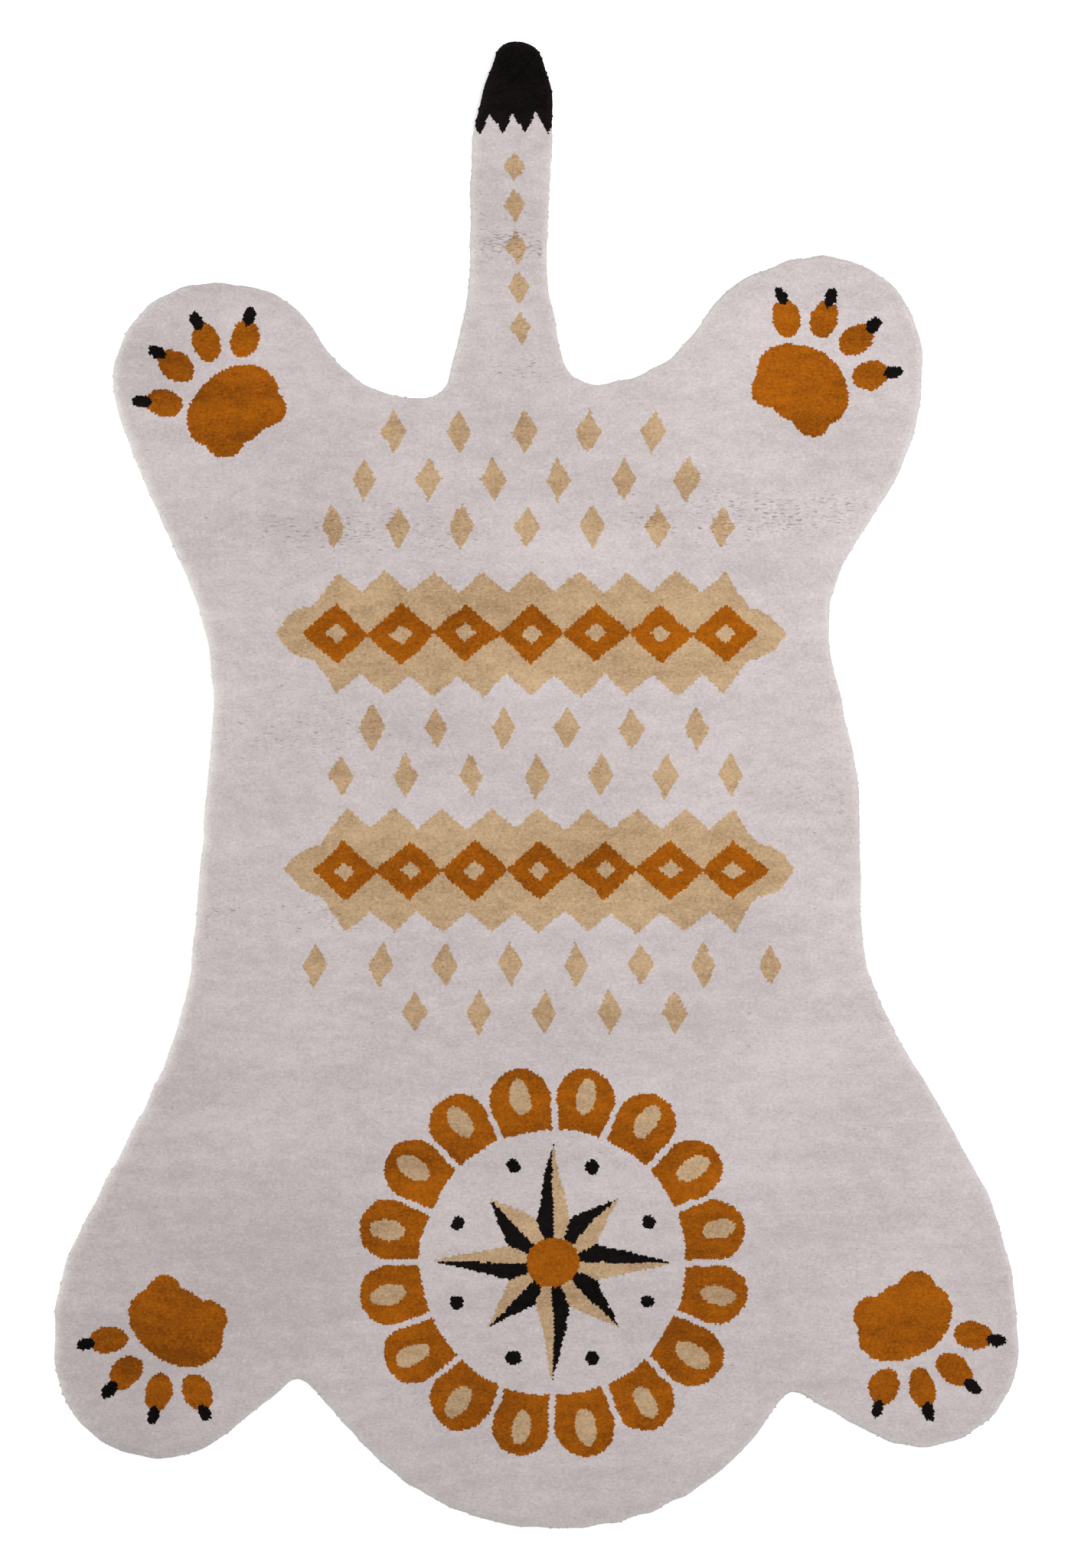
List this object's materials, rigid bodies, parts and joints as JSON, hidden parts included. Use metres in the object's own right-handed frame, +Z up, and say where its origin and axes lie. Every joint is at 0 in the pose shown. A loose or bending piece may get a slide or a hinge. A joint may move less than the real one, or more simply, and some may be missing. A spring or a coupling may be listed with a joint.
{
  "type": "lion shaped kids rug",
  "caption": "Flat cut-pile floor rug in the outline of a lion lying with its paws spread, patterned in ochre, tan and black yarn on a pale ground.",
  "frame": {"origin": "middle of the outline's box, on the underside that lies on the floor", "axes": "+Y from the head to the tail, +Z up out of the pile, +X to the right as seen from above with the head nearest"},
  "size_m": [1.1018, 1.7, 0.014],
  "materials": {
    "ground_pile": "pale lilac grey wool cut pile, matt",
    "ochre_pile": "ochre wool cut pile, matt",
    "tan_pile": "tan wool cut pile, matt",
    "black_pile": "black wool cut pile, matt",
    "backing_cloth": "plain woven cotton backing, unbleached"
  },
  "bodies": {
    "root": {"rug": "ground_pile"}
  },
  "joints": []
}
